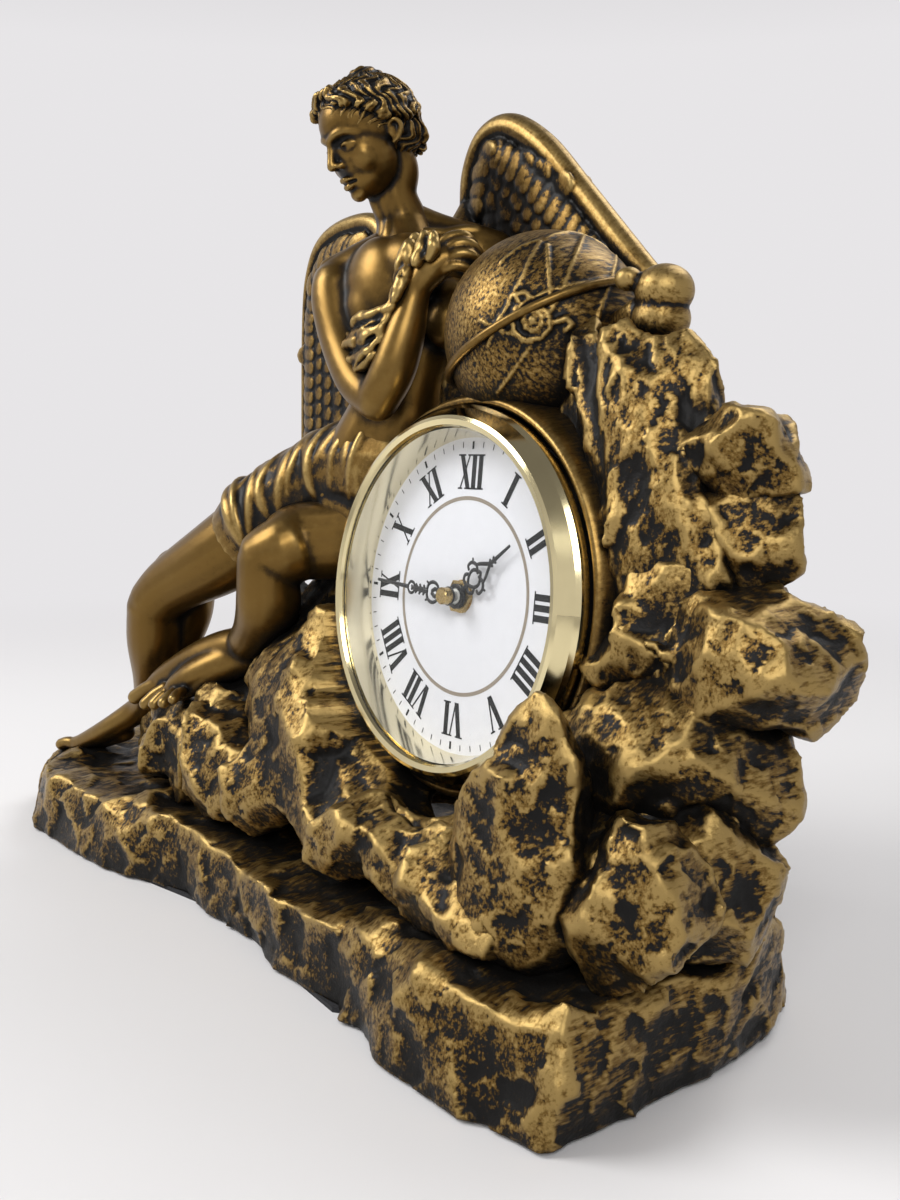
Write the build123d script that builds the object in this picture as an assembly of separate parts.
from build123d import *
import math
import os

os.makedirs("parts", exist_ok=True)

# Figural mantel clock: a winged woman sits on a rock pile that holds a round quartz insert.
# Millimetres, +X to the viewer's right, -Y to the front, +Z up, origin on the shelf.

# Overall sizes
base_length = 400.0
base_depth = 126.0
base_height = 29.0
felt_thickness = 1.5
felt_inset_share = 0.94
rock_height = 160.0
figure_height = 350.0
overrun = 6.0

# Place of the dial: the centre of its front face, and how far it leans back
dial_centre_x = 74.0
dial_centre_y = -5.0
dial_centre_z = 119.8
dial_lean_deg = 5.6

# Insert: can, dial, reflector, lens and bezel, heights counted from the dial's front face
dial_radius = 51.2
dial_thickness = 0.8
can_radius = 52.6
can_wall = 1.2
can_plate = 1.8
can_depth = 19.6
can_flange_radius = 57.2
can_flange = 1.4
seat_height = 3.0
bezel_skirt = 1.2
bezel_gap = 0.2
bezel_skirt_height = 3.0
bezel_step = 1.2
bezel_height = 11.8
bezel_nose_radius = 53.6
bezel_flank_radius = 54.8
bezel_lip = 1.1
lens_radius = 52.3
lens_thickness = 1.5
lens_top = 10.5
reflector_foot_radius = 49.2
reflector_wall = 1.2
band_width = 6.0
band_setback = 8.0
insert_clearance = 0.1

# Bore in the rock that takes the insert
bore_radius = 53.2
bore_depth = 27.0
collar_radius = 61.8
collar_root_radius = 64.5
collar_depth = 24.0
rear_opening_radius = 40.0
rock_clearance = 0.6
pull_out = 60.0

# Movement: a flat box with a battery bay, the hands' shafts through its middle
case_width = 56.0
case_wall = 1.4
case_depth = 14.8
cover_thickness = 1.2
bay_height = 15.6
battery_radius = 7.1
battery_length = 49.2
battery_nub_radius = 2.6
battery_nub = 1.2
contact_thickness = 0.4
contact_width = 8.0
bush_radius = 3.9
bush_hole_radius = 2.66
nut_flats = 9.6
nut_thickness = 1.5
washer_radius = 5.2
washer_thickness = 0.3
hour_pipe_radius = 2.6
hour_pipe_bore = 1.66
arbor_radius = 1.6
arbor_tip_radius = 1.1
pivot_radius = 0.6
pivot_clearance = 0.05
post_radius = 0.9
shaft_gap = 0.3

# Train: teeth and modules
cannon_teeth = 12
motion_teeth = 36
motion_pinion_teeth = 10
hour_teeth = 40
setting_teeth = 18
centre_teeth = 64
third_pinion_teeth = 8
third_teeth = 60
motion_module = 0.35
hour_module = 0.336
centre_module = 0.25
third_module = 0.19
wheel_thickness = 0.9
pinion_thickness = 1.4
motion_turn_deg = 45.0
third_turn_deg = 165.0
addendum_share = 0.85
dedendum_share = 1.15
tooth_root_share = 0.30
tooth_tip_share = 0.11
knob_radius = 5.0
knob_height = 3.2
knob_groove = 0.8
knob_grooves = 16
knob_collar_radius = 1.5

# Stepper motor
board_length = 34.0
board_width = 7.0
board_thickness = 1.0
coil_length = 15.0
coil_radius = 3.1
coil_flange_radius = 3.8
coil_flange = 0.8
stator_length = 24.0
stator_width = 6.4
stator_thickness = 0.8
stator_hole_radius = 2.6
rotor_radius = 2.3
rotor_height = 2.0

# Hands: heights over the dial
hour_hand_height = 2.4
minute_hand_height = 5.2
hand_thickness = 0.4
hour_hand_length = 29.0
minute_hand_length = 38.0
hour_hub_radius = 3.8
minute_hub_radius = 3.0
scroll_radius = 2.5
scroll_width = 0.8
spear_width = 1.5
hour_hand_deg = 54.0
minute_hand_deg = 273.0
cap_radius = 2.65
cap_height = 2.9
cap_chamfer = 0.4

# Globe, its ring and the scroll knob beside it
globe_radius = 32.0
globe_x = 82.0
globe_y = 22.0
globe_z = 200.0
ring_width = 3.2
ring_proud = 2.0
ring_sink = 1.2
ring_axis_shares = (-0.41, -0.16, 0.90)

# Wings
wing_thickness = 7.0
wing_edge_radius = 5.0
wing_root_radius = 8.0
feather_proud = 1.4
wing_feather_width = 6.5

# Figure: radii of the limbs, the head, the cloth and the knob on the globe
hip_radius = 16.5
thigh_radius = 15.8
knee_radius = 11.2
calf_radius = 11.4
ankle_radius = 6.0
instep_radius = 5.8
toe_radius = 3.4
shoulder_radius = 9.0
upper_arm_radius = 8.4
elbow_radius = 6.9
forearm_radius = 7.6
wrist_radius = 4.7
palm_radius = 5.2
finger_radius = 2.2
fingertip_radius = 1.9
bust_radius = 9.6
neck_radius = 9.4
throat_radius = 8.3
skull_length_radius = 17.6
skull_width_radius = 15.6
hair_length_radius = 18.2
hair_width_radius = 17.4
hair_cut_back = 35.0
bun_radius = 6.4
nape_radius = 6.4
cloth_radius = 19.4
hem_radius = 18.2
cloth_fold_half = 4.2
cloth_fold_dip = 2.1
fold_count = 5
strap_radius = 3.2
wrap_radius = 15.0
girdle_radius = 10.5
calf_round_radius = 11.2
knob_tip_radius = 3.6
skull_rise = 3.6
face_reach = 8.0
face_drop = 7.5
face_length_radius = 15.5
face_width_radius = 11.6
hair_back = 2.5
hair_rise = 6.0
brow_reach = 9.0
bun_back = 10.0
bun_rise = 20.5
nape_back = 17.0
nape_drop = 3.0
gather_radius = 5.8
knob_root_radius = 7.9
knob_middle_radius = 7.9
knob_end_radius = 8.2
knob_neck_radius = 4.4
knob_neck_middle_radius = 4.6
knob_neck_end_radius = 5.2

# Shares of the plinth's outline: across its length, across its depth
plinth_shares = [
    (-0.500, 0.17), (-0.515, -0.06), (-0.475, -0.38), (-0.353, -0.54), (-0.250, -0.51),
    (-0.160, -0.46), (-0.023, -0.38), (0.130, -0.45), (0.203, -0.47), (0.228, -0.41),
    (0.305, -0.51), (0.428, -0.44), (0.428, -0.18), (0.410, 0.06), (0.390, 0.27),
    (0.375, 0.46), (0.150, 0.50), (-0.150, 0.48), (-0.375, 0.41),
]
# Height of each level of the plinth and how far the outline spreads there
plinth_level_shares = [(0.0, 0.965), (0.42, 1.0), (0.82, 0.985), (1.0, 0.95)]

# One broken outline serves every rock, turned and stretched to suit
rock_ring_shares = [
    (1.00, 0.05), (0.72, 0.70), (0.20, 0.96), (-0.42, 0.88), (-0.90, 0.42),
    (-0.98, -0.24), (-0.55, -0.84), (0.10, -1.00), (0.70, -0.62),
]
lump_level_shares = [(-1.0, 0.36), (-0.66, 0.82), (-0.10, 1.0), (0.42, 0.94), (0.80, 0.64), (1.0, 0.30)]
slab_level_shares = [(0.0, 0.92), (0.35, 1.0), (0.75, 0.78), (1.0, 0.30)]
rock_twist_deg = 18.0
knob_level_shares = [(0.0, 1.25), (0.45, 0.92), (0.78, 1.0), (1.0, 0.52)]

dial_plane = Plane(
    origin=(dial_centre_x, dial_centre_y, dial_centre_z),
    x_dir=(1, 0, 0),
    z_dir=(0, -math.cos(math.radians(dial_lean_deg)), math.sin(math.radians(dial_lean_deg))),
)


def save(shape, name):
    export_step(shape, f"parts/{name}.step")
    return shape


def outline(points):
    return make_face(Polyline(*points, close=True))


def turned(points):
    """A ring about +Z from its section: radius, height."""
    return revolve(Plane.XZ * outline(points), Axis.Z)


def drum(radius, low, high):
    return Pos(0, 0, low) * extrude(Circle(radius), high - low)


def place(base_x_share, base_y_share, height_share):
    """A point over the plinth, in shares of its length, its depth and the rocks' height."""
    return Vector(
        base_x_share * base_length, base_y_share * base_depth,
        base_height + height_share * rock_height)


def body_point(x_share, y_share, z_share):
    """A point of the figure, in shares of its standing height, from the middle of the shelf."""
    return Vector(x_share * figure_height, y_share * figure_height, z_share * figure_height)


def crag(foot, half_x, half_y, height, level_shares, turn=0.0, lean_x=0.0, lean_y=0.0):
    """A broken rock: one outline lofted through levels, each spread and shifted by its share."""
    sections = []
    for rise_share, spread_share in level_shares:
        points = [(half_x * spread_share * x, half_y * spread_share * y) for x, y in rock_ring_shares]
        middle = foot + Vector(lean_x * rise_share, lean_y * rise_share, height * rise_share)
        level_turn = turn + rock_twist_deg * rise_share
        sections.append(Pos(middle.X, middle.Y, middle.Z) * Rot(0, 0, level_turn) * outline(points))
    return loft(sections, ruled=True)


def lump(x_share, y_share, z_share, half_x_share, half_y_share, half_z_share, turn):
    """A broken stone about its middle, in shares of the plinth and of the rocks' height."""
    middle = place(x_share, y_share, z_share)
    sections = []
    for rise_share, spread_share in lump_level_shares:
        points = [
            (half_x_share * base_length * spread_share * x, half_y_share * base_depth * spread_share * y)
            for x, y in rock_ring_shares]
        level = middle.Z + rise_share * half_z_share * rock_height
        sections.append(Pos(middle.X, middle.Y, level) * Rot(0, 0, turn) * outline(points))
    return loft(sections, ruled=True)


def heap(rows):
    stones = [lump(*row) for row in rows]
    return stones[0] if len(stones) == 1 else stones[0].fuse(*stones[1:])


def limb(start, end, start_radius, middle_radius, end_radius, middle_share=0.4):
    """A round, swelling limb with a ball at each end."""
    length = (end - start).length
    half = math.sqrt(0.5)
    profile = [
        ThreePointArc(
            (0, -start_radius), (half * start_radius, -half * start_radius), (start_radius, 0)),
        Spline(
            (start_radius, 0), (middle_radius, middle_share * length), (end_radius, length)),
        ThreePointArc(
            (end_radius, length), (half * end_radius, length + half * end_radius),
            (0, length + end_radius)),
        Line((0, length + end_radius), (0, -start_radius)),
    ]
    return Plane(origin=start, z_dir=end - start) * revolve(Plane.XZ * make_face(profile), Axis.Z)


def egg(centre, long_radius, round_radius, direction):
    """A ball drawn out along one direction."""
    arc = EllipticalCenterArc((0, 0), round_radius, long_radius, start_angle=-90, arc_size=180)
    half = Plane.XZ * make_face([arc, Line((0, long_radius), (0, -long_radius))])
    return Plane(origin=centre, z_dir=direction) * revolve(half, Axis.Z)


def gear(teeth, module, thickness, tooth_at_deg=0.0):
    """A spur wheel about +Z with one tooth's middle at the given angle."""
    pitch_radius = module * teeth / 2
    tip_radius = pitch_radius + addendum_share * module
    root_radius = pitch_radius - dedendum_share * module
    pitch_deg = 360.0 / teeth
    points = []
    for tooth in range(teeth):
        middle = tooth_at_deg + tooth * pitch_deg
        for radius, side_share in (
            (root_radius, -tooth_root_share), (tip_radius, -tooth_tip_share),
            (tip_radius, tooth_tip_share), (root_radius, tooth_root_share),
        ):
            angle = math.radians(middle + side_share * pitch_deg)
            points.append((radius * math.cos(angle), radius * math.sin(angle)))
    return extrude(outline(points), thickness)


def about(angle_deg, distance):
    return (distance * math.cos(math.radians(angle_deg)), distance * math.sin(math.radians(angle_deg)))


# Insert bore and the room that the insert needs, in place and when it is pulled out
bore_cut = dial_plane * (
    drum(bore_radius, -bore_depth, seat_height + overrun)
    + drum(rear_opening_radius, -base_depth, -bore_depth + overrun)
)
insert_room = bore_cut + dial_plane * drum(
    can_flange_radius + bezel_gap + bezel_skirt + rock_clearance, seat_height, pull_out + bezel_height)

# Plinth
plinth_sections = []
for rise_share, spread_share in plinth_level_shares:
    points = [
        (spread_share * x * base_length, spread_share * y * base_depth) for x, y in plinth_shares]
    level = felt_thickness + rise_share * (base_height - felt_thickness)
    plinth_sections.append(Pos(0, 0, level) * outline(points))
plinth = loft(plinth_sections, ruled=True)
corner_blocks = [
    (0.400, 0.20, 0.055, 0.26, 20.0, 0.34),
    (0.345, -0.30, 0.065, 0.20, -15.0, 0.22),
    (0.235, -0.40, 0.040, 0.13, 40.0, 0.20),
    (-0.455, -0.16, 0.045, 0.22, 10.0, 0.13),
]
for x_share, y_share, half_x_share, half_y_share, turn, rise_share in corner_blocks:
    foot = Vector(x_share * base_length, y_share * base_depth, base_height / 2)
    plinth += crag(
        foot, half_x_share * base_length, half_y_share * base_depth,
        base_height / 2 + rise_share * base_height, slab_level_shares, turn)
felt = extrude(
    outline([
        (felt_inset_share * x * base_length, felt_inset_share * y * base_depth)
        for x, y in plinth_shares]),
    felt_thickness)
save(felt, "felt_sheet")
save(plinth, "base_plinth")

# Rock behind the dial with its raised collar, and the heap that carries the figure
mass_stones = [
    (0.200, 0.222, 0.319, 0.1485, 0.2571, 0.3263, 4.0),
    (0.180, 0.222, 0.669, 0.1080, 0.2000, 0.2812, -6.0),
    (0.100, 0.190, 0.469, 0.0765, 0.2143, 0.3150, 10.0),
    (0.285, 0.206, 0.544, 0.0675, 0.2143, 0.3600, 0.0),
    (-0.005, 0.143, 0.331, 0.0945, 0.2286, 0.3038, 0.0),
    (-0.075, 0.127, 0.231, 0.1035, 0.2429, 0.2587, -10.0),
    (-0.165, 0.095, 0.144, 0.0945, 0.2429, 0.2025, -6.0),
    (-0.245, 0.095, 0.094, 0.0675, 0.2143, 0.1575, 0.0),
    (0.055, 0.238, 0.569, 0.0675, 0.1857, 0.2025, 0.0),
    (0.035, -0.159, 0.344, 0.0450, 0.1143, 0.1012, 20.0),
    (-0.035, -0.143, 0.306, 0.0495, 0.1143, 0.1012, -20.0),
    (0.020, -0.222, 0.169, 0.0450, 0.1071, 0.1125, 10.0),
    (0.080, -0.222, 0.131, 0.0428, 0.1143, 0.1069, -15.0),
    (-0.005, -0.270, 0.094, 0.0360, 0.0929, 0.0844, 35.0),
    (-0.130, -0.159, 0.181, 0.0473, 0.1214, 0.1125, -15.0),
    (-0.240, -0.095, 0.119, 0.0405, 0.1143, 0.1012, 15.0),
    (0.060, -0.238, 0.256, 0.0360, 0.0929, 0.0844, 15.0),
    (0.115, -0.254, 0.094, 0.0360, 0.1000, 0.0844, -15.0),
]
collar = dial_plane * turned([
    (0, -collar_depth), (collar_root_radius, -collar_depth), (collar_root_radius, -seat_height),
    (collar_radius, 0), (collar_radius, seat_height), (0, seat_height)])
rock_mass = heap(mass_stones) + collar - insert_room - plinth
save(rock_mass, "rock_mass")

taken = [plinth, rock_mass]


def boxes_meet(first, second):
    one, two = first.bounding_box(), second.bounding_box()
    return all(
        getattr(one.min, side) < getattr(two.max, side) and getattr(two.min, side) < getattr(one.max, side)
        for side in ("X", "Y", "Z"))


def seat(shape, *neighbours):
    """Cut a piece back to the faces of what already stands there."""
    for other in neighbours:
        if boxes_meet(shape, other):
            shape = shape - other
    return max(shape.solids(), key=lambda solid: solid.volume)


# Craggy stump at the right, with its row of worn knobs
stump = crag(
    place(0.325, 0.10, 0.10), 0.060 * base_length, 0.165 * base_depth, 0.85 * rock_height,
    [(0.0, 1.15), (0.35, 1.05), (0.72, 0.92), (1.0, 0.74)], 25.0)
stump_knobs = [
    (0.280, 0.08, 0.60, 0.018, 0.43), (0.312, 0.06, 0.74, 0.017, 0.30),
    (0.350, 0.13, 0.76, 0.019, 0.28), (0.372, 0.17, 0.66, 0.018, 0.33),
    (0.300, -0.06, 0.36, 0.020, 0.52), (0.336, -0.04, 0.30, 0.022, 0.50),
]
for x_share, y_share, z_share, half_share, rise_share in stump_knobs:
    stump += crag(
        place(x_share, y_share, z_share), half_share * base_length, half_share * base_length,
        rise_share * rock_height, knob_level_shares, 360.0 * x_share)
stump = seat(stump, insert_room, *taken)
save(stump, "stump")
taken.append(stump)

# Boulders at the right, rocks in front of the dial and rocks under the feet: the stones of each
stone_heaps = [
    ("upper_boulder", [
        (0.395, 0.159, 0.856, 0.0405, 0.1286, 0.0591, 15.0),
        (0.375, 0.143, 0.825, 0.0270, 0.0929, 0.0506, -15.0),
        (0.415, 0.175, 0.806, 0.0225, 0.0857, 0.0506, -15.0),]),
    ("middle_boulder", [
        (0.400, 0.159, 0.738, 0.0338, 0.1071, 0.0731, 70.0),
        (0.410, 0.159, 0.650, 0.0248, 0.0857, 0.0563, 20.0),]),
    ("overhang_boulder", [
        (0.425, 0.119, 0.519, 0.0563, 0.1714, 0.1069, -20.0),
        (0.450, 0.159, 0.506, 0.0338, 0.1286, 0.0900, 10.0),
        (0.395, 0.063, 0.481, 0.0405, 0.1214, 0.0956, 30.0),]),
    ("inner_boulder", [
        (0.365, 0.016, 0.525, 0.0338, 0.0929, 0.0731, 35.0),
        (0.338, -0.016, 0.487, 0.0225, 0.0643, 0.0563, 0.0),
        (0.375, 0.032, 0.619, 0.0270, 0.0786, 0.0563, 0.0),]),
    ("lower_boulder", [
        (0.383, 0.024, 0.344, 0.0653, 0.2071, 0.1237, 10.0),
        (0.430, 0.079, 0.294, 0.0315, 0.1214, 0.0844, -25.0),
        (0.345, -0.063, 0.319, 0.0382, 0.1000, 0.1012, 5.0),]),
    ("heel_boulder", [
        (0.370, -0.032, 0.156, 0.0675, 0.2143, 0.1575, -30.0),
        (0.425, 0.032, 0.156, 0.0360, 0.1357, 0.1125, 15.0),]),
    ("pointed_rock", [
        (0.340, -0.286, 0.181, 0.0495, 0.0929, 0.1800, 12.0),
        (0.357, -0.278, 0.319, 0.0315, 0.0714, 0.1463, 20.0),
        (0.315, -0.294, 0.156, 0.0338, 0.0857, 0.1350, -20.0),]),
    ("slab_rock", [
        (0.270, -0.341, 0.087, 0.0360, 0.0643, 0.0619, 10.0),
        (0.320, -0.365, 0.081, 0.0338, 0.0571, 0.0506, -10.0),
        (0.280, -0.302, 0.144, 0.0248, 0.0571, 0.0563, 30.0),]),
    ("toe_rock", [
        (0.415, -0.222, 0.163, 0.0315, 0.0929, 0.1406, -18.0),
        (0.400, -0.262, 0.119, 0.0203, 0.0571, 0.0788, 20.0),
        (0.438, -0.159, 0.169, 0.0248, 0.0857, 0.0900, 10.0),]),
    ("dial_foot_rock", [
        (0.160, -0.270, 0.106, 0.0428, 0.0929, 0.0900, 50.0),
        (0.210, -0.270, 0.094, 0.0338, 0.0929, 0.0788, 10.0),
        (0.250, -0.238, 0.094, 0.0338, 0.0929, 0.0844, -10.0),]),
    ("foot_rock", [
        (-0.305, -0.048, 0.081, 0.0450, 0.1214, 0.0900, -8.0),
        (-0.265, -0.111, 0.081, 0.0270, 0.0857, 0.0788, 25.0),
        (-0.330, -0.095, 0.044, 0.0270, 0.0714, 0.0563, -25.0),]),
    ("step_rock", [
        (-0.200, -0.206, 0.113, 0.0495, 0.1214, 0.1237, 20.0),
        (-0.160, -0.238, 0.081, 0.0360, 0.1000, 0.0900, -30.0),]),
    ("ledge_rock", [
        (-0.085, -0.246, 0.144, 0.0517, 0.1214, 0.1350, -25.0),
        (-0.040, -0.262, 0.106, 0.0382, 0.1000, 0.0956, 30.0),]),
]
for name, stones in stone_heaps:
    rock = seat(heap(stones), insert_room, *taken)
    save(rock, name)
    taken.append(rock)

# Figure: places of the joints as shares of its standing height
hip_right = body_point(-0.0783, 0.0229, 0.4363)
hip_left = body_point(0.0446, 0.0486, 0.3894)
knee_right = body_point(-0.2797, -0.0857, 0.2914)
knee_left = body_point(-0.1683, 0.0071, 0.3406)
shin_right = body_point(-0.3086, -0.0771, 0.2229)
shin_left = body_point(-0.2286, 0.0271, 0.2829)
ankle_right = body_point(-0.3649, -0.0600, 0.1571)
ankle_left = body_point(-0.3371, 0.0629, 0.2286)
toe_right = body_point(-0.4943, -0.1103, 0.0851)
toe_left = body_point(-0.3714, -0.0571, 0.1686)
heel_right = body_point(-0.3657, -0.0543, 0.1429)
heel_left = body_point(-0.3029, 0.0857, 0.2100)
shoulder_right = body_point(-0.0051, -0.0029, 0.6354)
shoulder_left = body_point(0.0886, 0.1229, 0.6600)
elbow_right = body_point(0.0891, -0.0200, 0.5160)
wrist_right = body_point(0.1223, 0.0057, 0.6251)
elbow_left = body_point(0.1486, 0.1600, 0.6343)
head_centre = body_point(0.0217, 0.0171, 0.7886)
neck_foot = body_point(0.0286, 0.0600, 0.6800)

# Torso: centre, half width and half depth of each level as shares of the height, and its turn
torso_levels = [
    ((-0.0014, 0.0371, 0.3800), (0.0743, 0.0514), 22.0), ((-0.0043, 0.0414, 0.4286), (0.0743, 0.0500), 24.0),
    ((0.0200, 0.0400, 0.4743), (0.0600, 0.0443), 28.0), ((0.0386, 0.0414, 0.5143), (0.0486, 0.0366), 33.0),
    ((0.0434, 0.0443, 0.5486), (0.0520, 0.0386), 36.0), ((0.0371, 0.0529, 0.5857), (0.0643, 0.0443), 37.0),
    ((0.0343, 0.0586, 0.6171), (0.0686, 0.0443), 37.0), ((0.0314, 0.0600, 0.6514), (0.0486, 0.0329), 37.0),
    ((0.0286, 0.0600, 0.6800), (0.0286, 0.0257), 37.0),
]
torso_sections = []
for (x_share, y_share, z_share), (half_width_share, half_depth_share), turn in torso_levels:
    middle = body_point(x_share, y_share, z_share)
    torso_sections.append(
        Pos(middle.X, middle.Y, middle.Z) * Rot(0, 0, turn)
        * Ellipse(half_width_share * figure_height, half_depth_share * figure_height))
torso = loft(torso_sections, ruled=True)
torso += limb(body_point(-0.0129, 0.0014, 0.6357), body_point(0.0331, 0.0571, 0.6629), shoulder_radius, girdle_radius, girdle_radius)
torso += limb(body_point(0.0331, 0.0571, 0.6629), body_point(0.0857, 0.1200, 0.6629), girdle_radius, girdle_radius, shoulder_radius)
for bust in (body_point(0.0471, 0.0086, 0.6000), body_point(0.1029, 0.0571, 0.5971)):
    torso += Pos(bust.X, bust.Y, bust.Z) * Sphere(bust_radius)
torso = seat(torso, insert_room, *taken)
save(torso, "figure_torso")
taken.append(torso)

# Globe on the rock, with its tilted ring
globe_at = Vector(globe_x, globe_y, globe_z)
globe = seat(Pos(globe_x, globe_y, globe_z) * Sphere(globe_radius), insert_room, *taken)
save(globe, "globe")
taken.append(globe)
ring_plane = Plane(origin=globe_at, z_dir=ring_axis_shares)
ring_inner = globe_radius - ring_sink
ring_outer = globe_radius + ring_proud
globe_ring = ring_plane * (
    drum(ring_outer, -ring_width / 2, ring_width / 2)
    - drum(ring_inner, -ring_width, ring_width))
globe_ring = seat(globe_ring, insert_room, *taken)
save(globe_ring, "globe_ring")
taken.append(globe_ring)

scroll_at = body_point(0.3757, 0.0571, 0.5857)
scroll_knob = limb(
    body_point(0.3743, 0.0571, 0.5729), body_point(0.3771, 0.0571, 0.5971), knob_root_radius, knob_middle_radius, knob_end_radius)
scroll_knob += limb(
    body_point(0.3029, 0.0629, 0.5629), body_point(0.3543, 0.0571, 0.5800), knob_neck_radius, knob_neck_middle_radius, knob_neck_end_radius)
scroll_knob += limb(
    body_point(0.3543, 0.0400, 0.6057), body_point(0.3600, 0.0429, 0.6029), knob_tip_radius, knob_tip_radius, knob_tip_radius)
scroll_knob = seat(scroll_knob, *taken)
save(scroll_knob, "scroll_knob")
taken.append(scroll_knob)

# Legs
def leg(hip, knee, shin, ankle, heel, toe):
    shape = limb(hip, knee, hip_radius, thigh_radius, knee_radius)
    shape += limb(knee, ankle, knee_radius, calf_radius, ankle_radius, 0.35)
    shape += Pos(shin.X, shin.Y, shin.Z) * Sphere(calf_round_radius)
    shape += limb(heel, toe, ankle_radius, instep_radius, toe_radius, 0.35)
    return shape


left_leg = seat(
    leg(hip_left, knee_left, shin_left, ankle_left, heel_left, toe_left), insert_room, *taken)
save(left_leg, "left_leg")
taken.append(left_leg)
right_leg = seat(
    leg(hip_right, knee_right, shin_right, ankle_right, heel_right, toe_right), insert_room, *taken)
save(right_leg, "right_leg")
taken.append(right_leg)

# Cloth round the hips and the upper thigh, gathered in folds
hem = body_point(-0.1514, -0.0200, 0.3786)
cloth = limb(body_point(-0.0400, 0.0371, 0.4400), hem, cloth_radius, cloth_radius, hem_radius)
for fold in range(fold_count):
    share = (fold + 0.5) / fold_count
    middle = hip_right + (hem - hip_right) * share
    fold_plane = Plane(origin=middle, z_dir=knee_right - hip_right)
    ripple_radius = cloth_radius + (hem_radius - cloth_radius) * share + cloth_fold_dip / 2
    cloth += fold_plane * turned([
        (0, -cloth_fold_half), (ripple_radius - cloth_fold_dip, -cloth_fold_half),
        (ripple_radius, 0), (ripple_radius - cloth_fold_dip, cloth_fold_half),
        (0, cloth_fold_half)])
cloth += limb(body_point(0.0400, 0.0571, 0.3943), body_point(-0.0286, 0.0371, 0.4286), hem_radius, cloth_radius, cloth_radius)
cloth += limb(body_point(0.0000, 0.0286, 0.3829), body_point(-0.0743, 0.0171, 0.3714), wrap_radius, wrap_radius, wrap_radius)
lap_cloth = seat(cloth, insert_room, *taken)
save(lap_cloth, "lap_cloth")
taken.append(lap_cloth)

# Arms: the right bent across the chest, the left back over the globe
elbow_out = body_point(0.0226, -0.0114, 0.5737)
right_arm = limb(shoulder_right, elbow_out, shoulder_radius, upper_arm_radius, upper_arm_radius)
right_arm += limb(elbow_out, elbow_right, upper_arm_radius, upper_arm_radius, elbow_radius)
right_arm += limb(elbow_right, wrist_right, elbow_radius, forearm_radius, wrist_radius)
palm = body_point(0.1400, 0.0214, 0.6443)
right_arm += limb(wrist_right, palm, wrist_radius, palm_radius, palm_radius)
finger_rows = [
    (body_point(0.1343, 0.0200, 0.6554), body_point(0.1491, 0.0400, 0.6657)), (body_point(0.1411, 0.0206, 0.6503), body_point(0.1577, 0.0411, 0.6566)),
    (body_point(0.1440, 0.0189, 0.6423), body_point(0.1629, 0.0371, 0.6463)), (body_point(0.1411, 0.0154, 0.6337), body_point(0.1600, 0.0326, 0.6360)),
]
for knuckle, tip in finger_rows:
    right_arm += limb(knuckle, tip, finger_radius, finger_radius, fingertip_radius)
right_arm = seat(right_arm, insert_room, *taken)
save(right_arm, "right_arm")
taken.append(right_arm)
left_arm = limb(shoulder_left, elbow_left, shoulder_radius, upper_arm_radius, elbow_radius)
left_arm = seat(left_arm, *taken)
save(left_arm, "left_arm")
taken.append(left_arm)

# Gathered cloth held at the collar and tucked in the bend of the arm
shoulder_cloth = limb(body_point(0.0697, 0.0229, 0.6720), body_point(0.0946, -0.0057, 0.6200), strap_radius, strap_radius, strap_radius)
shoulder_cloth += limb(body_point(0.0946, -0.0057, 0.6200), body_point(0.0943, -0.0143, 0.5857), strap_radius, strap_radius, strap_radius)
shoulder_cloth += limb(body_point(0.0700, -0.0114, 0.5891), body_point(0.0440, -0.0057, 0.5726), gather_radius, gather_radius, gather_radius)
shoulder_cloth += limb(body_point(0.0440, -0.0057, 0.5726), body_point(0.0526, -0.0057, 0.5463), gather_radius, gather_radius, strap_radius)
shoulder_cloth += limb(body_point(0.0943, -0.0143, 0.5857), body_point(0.0700, -0.0143, 0.5829), strap_radius, strap_radius, strap_radius)
shoulder_cloth = seat(shoulder_cloth, insert_room, *taken)
save(shoulder_cloth, "shoulder_cloth")
taken.append(shoulder_cloth)

# Head on its neck, waved hair and a knot on the crown
head = limb(neck_foot, body_point(0.0231, 0.0429, 0.7343), neck_radius, throat_radius, throat_radius)
head += limb(body_point(0.0231, 0.0429, 0.7343), body_point(0.0229, 0.0286, 0.7657), throat_radius, neck_radius, neck_radius)
face_way = Vector(-0.10, -0.92, -0.38).normalized()
crown_way = Vector(-0.08, -0.37, 0.925).normalized()
head += egg(head_centre + crown_way * skull_rise, skull_length_radius, skull_width_radius, face_way)
head += egg(
    head_centre + face_way * face_reach - crown_way * face_drop, face_length_radius, face_width_radius, crown_way)
head = seat(head, *taken)
hair = egg(
    head_centre - face_way * hair_back + crown_way * hair_rise, hair_length_radius, hair_width_radius, face_way)
hair -= Plane(origin=head_centre + face_way * brow_reach, z_dir=face_way * 2 - crown_way) * Pos(
    0, 0, hair_cut_back) * Box(3 * hair_cut_back, 3 * hair_cut_back, 2 * hair_cut_back)
bun_at = head_centre - face_way * bun_back + crown_way * bun_rise
hair += Pos(bun_at.X, bun_at.Y, bun_at.Z) * Sphere(bun_radius)
nape_at = head_centre - face_way * nape_back - crown_way * nape_drop
hair += Pos(nape_at.X, nape_at.Y, nape_at.Z) * Sphere(nape_radius)
hair = seat(hair, head, *taken)
save(head, "figure_head")
save(hair, "hair")
taken += [head, hair]

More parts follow.
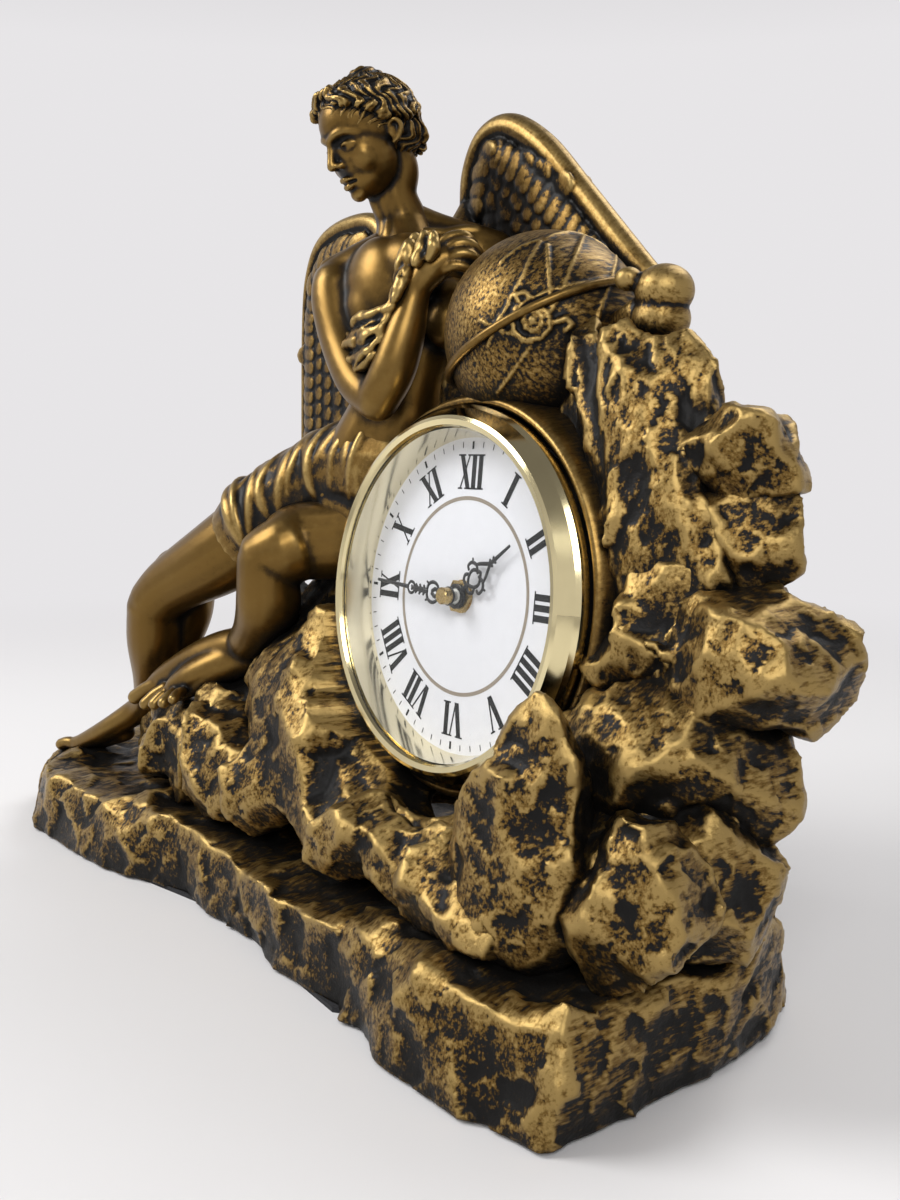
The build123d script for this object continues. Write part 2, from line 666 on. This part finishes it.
# Wings: outlines in shares of the standing height, across and up
left_wing_shares = [
    (0.0343, 0.6971), (0.0280, 0.7200), (0.0360, 0.7571), (0.0571, 0.7886),
    (0.0943, 0.7929), (0.1429, 0.7657), (0.1991, 0.7114), (0.2477, 0.6629),
    (0.2829, 0.6286), (0.3143, 0.5429), (0.2743, 0.4857), (0.1714, 0.5143),
    (0.0686, 0.5857),
]
right_wing_shares = [
    (-0.0400, 0.6629), (-0.0829, 0.7200), (-0.1343, 0.7286), (-0.1857, 0.7171),
    (-0.2171, 0.6886), (-0.2343, 0.6257), (-0.2414, 0.4686), (-0.2000, 0.4286),
    (-0.1257, 0.4571), (-0.0686, 0.5314),
]


def wing(shares, depth_share, edge_points, feather_rows, root):
    plane = Plane(
        origin=(0, depth_share * figure_height, 0), x_dir=(1, 0, 0), z_dir=(0, -1, 0))
    blade = plane * extrude(
        outline([(x * figure_height, z * figure_height) for x, z in shares]), -wing_thickness)
    shoulder = body_point(edge_points[0][0], depth_share, edge_points[0][1]) + Vector(0, wing_thickness / 2, 0)
    blade += limb(root, shoulder, wing_root_radius, wing_root_radius, wing_edge_radius)
    for first, second in zip(edge_points, edge_points[1:]):
        start = body_point(first[0], depth_share, first[1]) + Vector(0, wing_thickness / 2, 0)
        end = body_point(second[0], depth_share, second[1]) + Vector(0, wing_thickness / 2, 0)
        blade += limb(start, end, wing_edge_radius, wing_edge_radius, wing_edge_radius)
    for x_share, z_share, length_share, angle in feather_rows:
        quill = SlotOverall(length_share * figure_height, wing_feather_width)
        blade += plane * Pos(x_share * figure_height, z_share * figure_height, 0) * Rot(
            0, 0, angle) * extrude(quill, feather_proud)
    return blade


left_wing = wing(
    left_wing_shares, 0.135, left_wing_shares[1:9],
    [(0.085, 0.720, 0.060, 20.0), (0.130, 0.730, 0.070, -30.0), (0.175, 0.700, 0.090, -45.0),
     (0.140, 0.690, 0.080, -40.0), (0.215, 0.655, 0.110, -48.0), (0.255, 0.620, 0.100, -52.0)],
    body_point(0.060, 0.090, 0.650))
left_wing = seat(left_wing, *taken)
save(left_wing, "left_wing")
taken.append(left_wing)
right_wing = wing(
    right_wing_shares, 0.094, right_wing_shares[1:7],
    [(-0.180, 0.600, 0.130, 84.0), (-0.155, 0.580, 0.130, 80.0), (-0.130, 0.570, 0.110, 76.0),
     (-0.120, 0.660, 0.070, 50.0), (-0.160, 0.670, 0.060, 60.0)],
    body_point(0.006, 0.082, 0.640))
right_wing = seat(right_wing, *taken)
save(right_wing, "right_wing")
taken.append(right_wing)

# Insert: the can carries the dial and the movement, its flange lies on the collar
plate_front = -dial_thickness
plate_back = plate_front - can_plate
can_back = -can_depth
can_inner = can_radius - can_wall
flange_top = seat_height + can_flange
insert_can = turned([
    (bush_radius + insert_clearance, plate_back), (can_inner, plate_back), (can_inner, can_back),
    (can_radius, can_back), (can_radius, seat_height), (can_flange_radius, seat_height),
    (can_flange_radius, flange_top), (can_inner, flange_top), (can_inner, plate_front),
    (bush_radius + insert_clearance, plate_front)])
save(dial_plane * insert_can, "insert_can")

band_outer = bore_radius - insert_clearance
band_section = [
    (can_radius, -band_setback - band_width), (band_outer - insert_clearance, -band_setback - band_width),
    (band_outer, -band_setback - band_width / 2), (band_outer - insert_clearance, -band_setback),
    (can_radius, -band_setback)]
save(dial_plane * turned(band_section), "grip_band")

dial_plate = drum(dial_radius, -dial_thickness, 0) - drum(
    bush_radius + insert_clearance, -dial_thickness - overrun, overrun)
save(dial_plane * dial_plate, "dial_plate")

lens_bottom = lens_top - lens_thickness
reflector_ring = turned([
    (reflector_foot_radius, 0), (can_inner - bezel_gap, 0), (can_inner - bezel_gap, flange_top),
    (lens_radius - bezel_gap, lens_bottom), (lens_radius - reflector_wall, lens_bottom)])
save(dial_plane * reflector_ring, "reflector_ring")
save(dial_plane * drum(lens_radius, lens_bottom, lens_top), "lens")

skirt_inner = can_flange_radius + bezel_gap
skirt_outer = skirt_inner + bezel_skirt
bezel_inner = lens_radius + bezel_gap
bezel_section = [
    (skirt_inner, seat_height), (skirt_outer, seat_height),
    (skirt_outer, seat_height + bezel_skirt_height),
    (skirt_inner, seat_height + bezel_skirt_height + bezel_step),
    (bezel_flank_radius, bezel_height - bezel_step / 2), (bezel_nose_radius, bezel_height),
    (bezel_inner - bezel_lip / 2, bezel_height - bezel_step / 3), (bezel_inner - bezel_lip, lens_top),
    (bezel_inner, lens_top), (bezel_inner, flange_top), (skirt_inner, flange_top)]
save(dial_plane * turned(bezel_section), "bezel_ring")

# Movement case: a gear room above, a battery bay below, both open to the rear
case_front = plate_back
case_back = case_front - case_depth
case_top = case_width / 2
bay_top = -case_width / 2 + case_wall + bay_height
room_low = bay_top + case_wall
room_height = case_top - case_wall - room_low
room_width = case_width - 2 * case_wall
room_front = case_front - case_wall
room_depth = case_depth - case_wall
case_block = Pos(0, 0, case_back) * extrude(Rectangle(case_width, case_width), case_depth)
room_cut = Pos(0, room_low + room_height / 2, case_back - overrun) * extrude(
    Rectangle(room_width, room_height), room_depth + overrun)
bay_cut = Pos(0, bay_top - bay_height / 2, case_back - overrun) * extrude(
    Rectangle(room_width, bay_height), room_depth + overrun)
bush_top = washer_thickness + nut_thickness
movement_case = case_block - room_cut - bay_cut + drum(bush_radius, case_front, bush_top)
movement_case -= drum(bush_hole_radius, case_back - overrun, bush_top + overrun)

# Axes of the train in the movement
motion_distance = motion_module * (cannon_teeth + motion_teeth) / 2
setting_distance = motion_distance + motion_module * (motion_teeth + setting_teeth) / 2
third_distance = centre_module * (centre_teeth + third_pinion_teeth) / 2
motion_at = about(motion_turn_deg, motion_distance)
setting_at = about(motion_turn_deg, setting_distance)
third_at = about(third_turn_deg, third_distance)
rotor_at = (-case_width / 2 + case_wall + stator_width, room_low + room_height - stator_width * 1.6)

# Heights of the layers, from the front wall back
hour_layer = room_front - shaft_gap - wheel_thickness
motion_layer = hour_layer - shaft_gap - pinion_thickness
centre_layer = motion_layer - shaft_gap - pinion_thickness
third_layer = centre_layer - shaft_gap - wheel_thickness
pivot_depth = case_wall / 2
pivot_hole = pivot_radius + pivot_clearance
for axis_at in (setting_at, third_at, rotor_at):
    movement_case -= Pos(axis_at[0], axis_at[1], 0) * drum(
        pivot_hole, room_front - overrun, room_front + pivot_depth)
movement_case += Pos(motion_at[0], motion_at[1], 0) * drum(post_radius, motion_layer, room_front)
save(dial_plane * movement_case, "movement_case")

cover_back = case_back - cover_thickness
movement_cover = Pos(0, room_low + room_height / 2 - case_wall / 2, cover_back) * extrude(
    Rectangle(case_width, room_height + case_wall), cover_thickness)
movement_cover -= Pos(0, 0, 0) * drum(pivot_hole, cover_back + cover_thickness / 2, case_back + overrun)
for axis_at in (third_at, rotor_at):
    movement_cover -= Pos(axis_at[0], axis_at[1], 0) * drum(
        pivot_hole, cover_back + cover_thickness / 2, case_back + overrun)
movement_cover -= Pos(setting_at[0], setting_at[1], 0) * drum(
    knob_collar_radius + pivot_clearance, cover_back - overrun, case_back + overrun)
save(dial_plane * movement_cover, "movement_cover")

fixing_washer = drum(washer_radius, 0, washer_thickness) - drum(
    bush_radius + insert_clearance, -overrun, overrun)
save(dial_plane * fixing_washer, "dial_washer")
fixing_nut = Pos(0, 0, washer_thickness) * extrude(
    RegularPolygon(nut_flats / 2, 6, major_radius=False), nut_thickness)
fixing_nut -= drum(bush_radius, -overrun, overrun)
save(dial_plane * fixing_nut, "fixing_nut")


# Train: every wheel turns in the front wall and the rear cover
def pivoted(axis_at, wheels, back=None):
    last = case_back - cover_thickness / 2 + pivot_clearance if back is None else back
    shaft = drum(pivot_radius, last, room_front + pivot_depth - pivot_clearance)
    shape = shaft
    for wheel in wheels:
        shape += wheel
    return Pos(axis_at[0], axis_at[1], 0) * shape


centre_wheel = drum(arbor_radius, centre_layer, minute_hand_height + hand_thickness)
centre_wheel += drum(
    arbor_tip_radius, minute_hand_height, minute_hand_height + hand_thickness + cap_height * 0.7)
centre_wheel += drum(pivot_radius, case_back - cover_thickness / 2 + pivot_clearance, centre_layer)
centre_wheel += Pos(0, 0, motion_layer) * gear(
    cannon_teeth, motion_module, pinion_thickness, motion_turn_deg)
centre_wheel += Pos(0, 0, centre_layer) * gear(
    centre_teeth, centre_module, wheel_thickness, third_turn_deg)
save(dial_plane * centre_wheel, "centre_wheel")

hour_wheel = drum(hour_pipe_radius, hour_layer, hour_hand_height + hand_thickness)
hour_wheel += Pos(0, 0, hour_layer) * gear(
    hour_teeth, hour_module, wheel_thickness, motion_turn_deg + 180.0 / hour_teeth)
hour_wheel -= drum(hour_pipe_bore, -case_depth - overrun, hour_hand_height + overrun)
save(dial_plane * hour_wheel, "hour_wheel")

motion_wheel = Pos(0, 0, motion_layer) * gear(
    motion_teeth, motion_module, wheel_thickness,
    motion_turn_deg + 180.0 + 180.0 / motion_teeth)
motion_wheel += Pos(0, 0, motion_layer) * gear(
    motion_pinion_teeth, hour_module, hour_layer + wheel_thickness - motion_layer,
    motion_turn_deg + 180.0)
motion_wheel -= drum(post_radius + pivot_clearance, motion_layer - overrun, room_front)
motion_wheel = Pos(motion_at[0], motion_at[1], 0) * motion_wheel
save(dial_plane * motion_wheel, "motion_wheel")

third_wheel = pivoted(third_at, [
    Pos(0, 0, third_layer) * gear(
        third_pinion_teeth, centre_module, centre_layer + wheel_thickness - third_layer,
        third_turn_deg + 180.0 + 180.0 / third_pinion_teeth),
    Pos(0, 0, third_layer) * gear(third_teeth, third_module, wheel_thickness)])
save(dial_plane * third_wheel, "third_wheel")

# Setting knob: its stem comes out through the cover and ends in a grooved thumb wheel
knob_front = cover_back - shaft_gap
knob_back = knob_front - knob_height
setting_knob = pivoted((0, 0), [
    Pos(0, 0, motion_layer) * gear(
        setting_teeth, motion_module, wheel_thickness, motion_turn_deg + 180.0),
    drum(knob_collar_radius, knob_back, motion_layer),
    drum(knob_radius, knob_back, knob_front)], knob_back)
for groove in range(knob_grooves):
    x, y = about(360.0 * groove / knob_grooves, knob_radius)
    setting_knob -= Pos(x, y, 0) * drum(knob_groove / 2, knob_back - overrun, knob_front + shaft_gap / 2)
setting_knob = Pos(setting_at[0], setting_at[1], 0) * setting_knob
save(dial_plane * setting_knob, "setting_knob")

# Stepper motor: board, coil, stator plates and the magnet rotor
board_at_x = case_width / 2 - case_wall - board_width / 2
circuit_board = Pos(board_at_x, room_low + room_height / 2, room_front - board_thickness) * extrude(
    Rectangle(board_width, board_length), board_thickness)
save(dial_plane * circuit_board, "circuit_board")
stator_back = room_front - stator_thickness
stator_middle_x = rotor_at[0] + stator_length / 2 - stator_width / 2
stator = Pos(stator_middle_x, rotor_at[1], stator_back) * extrude(
    Rectangle(stator_length, stator_width), stator_thickness)
stator -= Pos(rotor_at[0], rotor_at[1], 0) * drum(stator_hole_radius, -case_depth - overrun, 0)
save(dial_plane * stator, "stator")
coil_x = stator_middle_x + stator_width / 2
coil_depth = stator_back - coil_flange_radius
coil = Rot(0, 90, 0) * (
    drum(coil_radius, -coil_length / 2, coil_length / 2)
    + drum(coil_flange_radius, -coil_length / 2, -coil_length / 2 + coil_flange)
    + drum(coil_flange_radius, coil_length / 2 - coil_flange, coil_length / 2))
save(dial_plane * Pos(coil_x, rotor_at[1], coil_depth) * coil, "coil")
rotor = pivoted(rotor_at, [
    drum(rotor_radius, stator_back - rotor_height, stator_back + stator_thickness - shaft_gap / 2)])
save(dial_plane * rotor, "rotor")

# Battery in its bay, with a spring contact at each end
bay_middle = bay_top - bay_height / 2
battery_depth = room_front - shaft_gap - battery_radius
battery = Rot(0, 90, 0) * (
    drum(battery_radius, -battery_length / 2, battery_length / 2 - battery_nub)
    + drum(battery_nub_radius, battery_length / 2 - battery_nub, battery_length / 2))
save(dial_plane * Pos(0, bay_middle, battery_depth) * battery, "battery")
contact_x = room_width / 2 - contact_thickness / 2
contacts = []
for side in (-1, 1):
    strip = Box(contact_thickness, contact_width, battery_radius)
    spring_length = room_width / 2 - contact_thickness - battery_length / 2 - shaft_gap / 2
    spring = Box(spring_length, contact_width / 3, contact_width / 3)
    reach = (room_width / 2 - contact_thickness + battery_length / 2 + shaft_gap / 2) / 2
    contacts.append(Pos(side * contact_x, bay_middle, battery_depth) * strip
                    + Pos(side * reach, bay_middle, battery_depth) * spring)
save(dial_plane * Compound(children=[part.solids()[0] for part in contacts]), "battery_contacts")


# Hands: a hub, a pair of scrolls and a spear point
def hand(length, hub_radius, hole_radius, scrolls, deg):
    shape = Circle(hub_radius) - Circle(hole_radius)
    for share, size_share in scrolls:
        for side in (-1, 1):
            middle = Pos(side * size_share * scroll_radius * 0.8, share * length)
            shape += middle * (Circle(size_share * scroll_radius) - Circle(
                size_share * scroll_radius - scroll_width))
    root = hub_radius - scroll_width
    shape += outline([
        (-scroll_width / 2, root), (scroll_width / 2, root), (scroll_width / 2, 0.62 * length),
        (spear_width / 2, 0.70 * length), (0, length), (-spear_width / 2, 0.70 * length),
        (-scroll_width / 2, 0.62 * length)])
    return Rot(0, 0, -deg) * extrude(shape, hand_thickness)


hour_scrolls = [(0.24, 0.8), (0.40, 1.0), (0.54, 0.8)]
minute_scrolls = [(0.16, 0.8), (0.27, 1.0), (0.38, 0.8), (0.48, 0.6)]
hour_hand = Pos(0, 0, hour_hand_height) * hand(
    hour_hand_length, hour_hub_radius, hour_pipe_radius, hour_scrolls, hour_hand_deg)
save(dial_plane * hour_hand, "hour_hand")
minute_hand = Pos(0, 0, minute_hand_height) * hand(
    minute_hand_length, minute_hub_radius, arbor_radius, minute_scrolls, minute_hand_deg)
save(dial_plane * minute_hand, "minute_hand")
cap_low = minute_hand_height + hand_thickness
hand_nut = chamfer(
    drum(cap_radius, cap_low, cap_low + cap_height).edges().sort_by(Axis.Z)[-1], cap_chamfer)
hand_nut -= drum(arbor_tip_radius, cap_low - overrun, cap_low + cap_height * 0.7)
save(dial_plane * hand_nut, "hand_nut")
